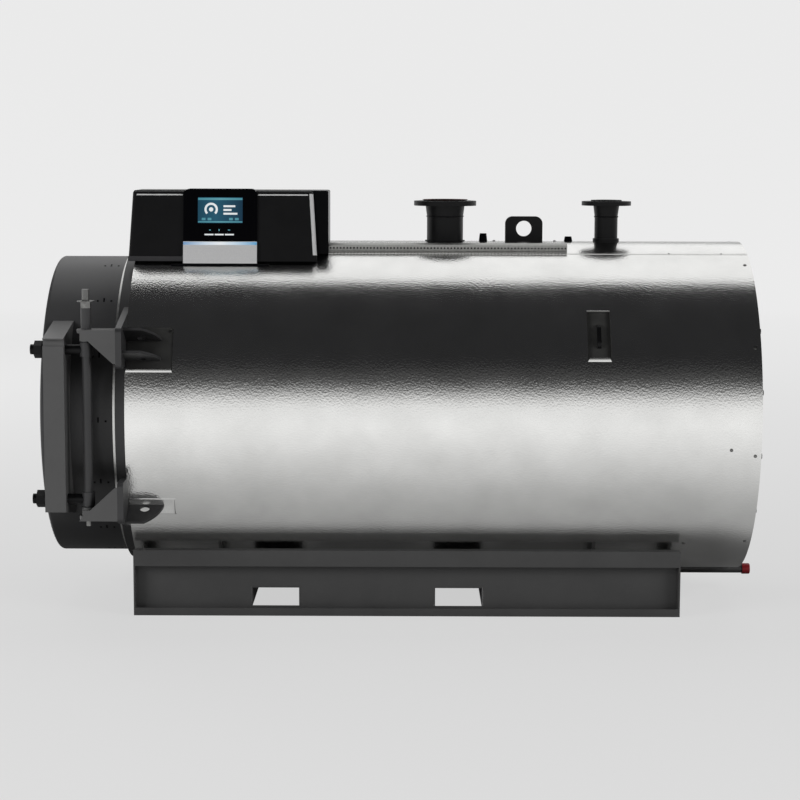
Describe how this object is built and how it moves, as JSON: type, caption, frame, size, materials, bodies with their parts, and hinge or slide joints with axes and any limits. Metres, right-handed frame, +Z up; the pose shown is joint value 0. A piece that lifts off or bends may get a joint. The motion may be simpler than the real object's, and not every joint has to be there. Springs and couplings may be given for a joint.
{
  "type": "industrial boiler",
  "caption": "Horizontal fire-tube hot-water boiler on a fork-lift base frame, with an aluminium jacket, control panel, flanged necks and a hinged burner door.",
  "frame": {"origin": "on the floor, half way along and across the boiler", "axes": "+Z up, +X from the burner door to the flue end, -Y the side with the control panel's display"},
  "size_m": [2.704, 1.384, 1.579],
  "materials": {
    "stucco_aluminium": "stucco-embossed bright sheet",
    "anthracite_paint": "satin anthracite powder coat",
    "black_paint": "satin near-black paint",
    "zinc_steel": "zinc plated",
    "bright_ring": "galvanised",
    "boiler_steel": "mill scale",
    "mineral_wool": "foil-faced wool mat",
    "refractory": "cast refractory",
    "grey_plastic": "fine-grained moulding",
    "black_plastic": "gloss black moulding",
    "silver_plastic": "silver lacquer",
    "display_glass": "lit display under glass",
    "duct_steel": "galvanised sheet",
    "red_plastic": "moulded cap"
  },
  "bodies": {
    "boiler": {"boiler_shell": "boiler_steel", "front_tube_plate": "boiler_steel", "rear_tube_plate": "boiler_steel", "furnace_tube": "boiler_steel", "furnace_end": "boiler_steel", "second_pass_tubes": "boiler_steel", "third_pass_tubes": "boiler_steel", "insulation": "mineral_wool", "jacket": "stucco_aluminium", "jacket_front_ring": "stucco_aluminium", "rear_cover": "anthracite_paint", "flue_collar": "zinc_steel", "front_flange": "anthracite_paint", "gussets": "anthracite_paint", "lashing_lugs": "black_paint", "near_base_beam": "anthracite_paint", "far_base_beam": "anthracite_paint", "cross_angles": "anthracite_paint", "fork_tunnels": "anthracite_paint", "saddles": "anthracite_paint", "flow_neck": "black_paint", "return_neck": "black_paint", "return_collar": "black_paint", "lifting_lugs": "black_paint", "sensor_plugs": "black_plastic", "cable_duct": "duct_steel", "panel_case": "black_paint", "panel_left_cover": "grey_plastic", "panel_right_cover": "grey_plastic", "display_module": "black_plastic", "display_screen": "display_glass", "display_fascia": "silver_plastic", "drain_pipe": "anthracite_paint", "drain_cap": "red_plastic", "hinge_brackets": "anthracite_paint", "hinge_pins": "zinc_steel", "pin_sleeves": "anthracite_paint", "pin_nuts": "zinc_steel", "far_hinge_post": "anthracite_paint"},
    "door": {"door_drum": "anthracite_paint", "door_band": "anthracite_paint", "door_seal_ring": "bright_ring", "door_lining": "refractory", "burner_plate": "zinc_steel", "sight_glass": "zinc_steel", "near_hinge_post": "anthracite_paint", "door_arms": "anthracite_paint", "door_bolts": "anthracite_paint"}
  },
  "joints": [
    {"name": "door_swing", "type": "hinge", "parent": "boiler", "child": "door", "pos_m": [-1.152, -0.64, 0.741], "axis": [0, 0, 1], "range_deg": [0, 105]}
  ]
}
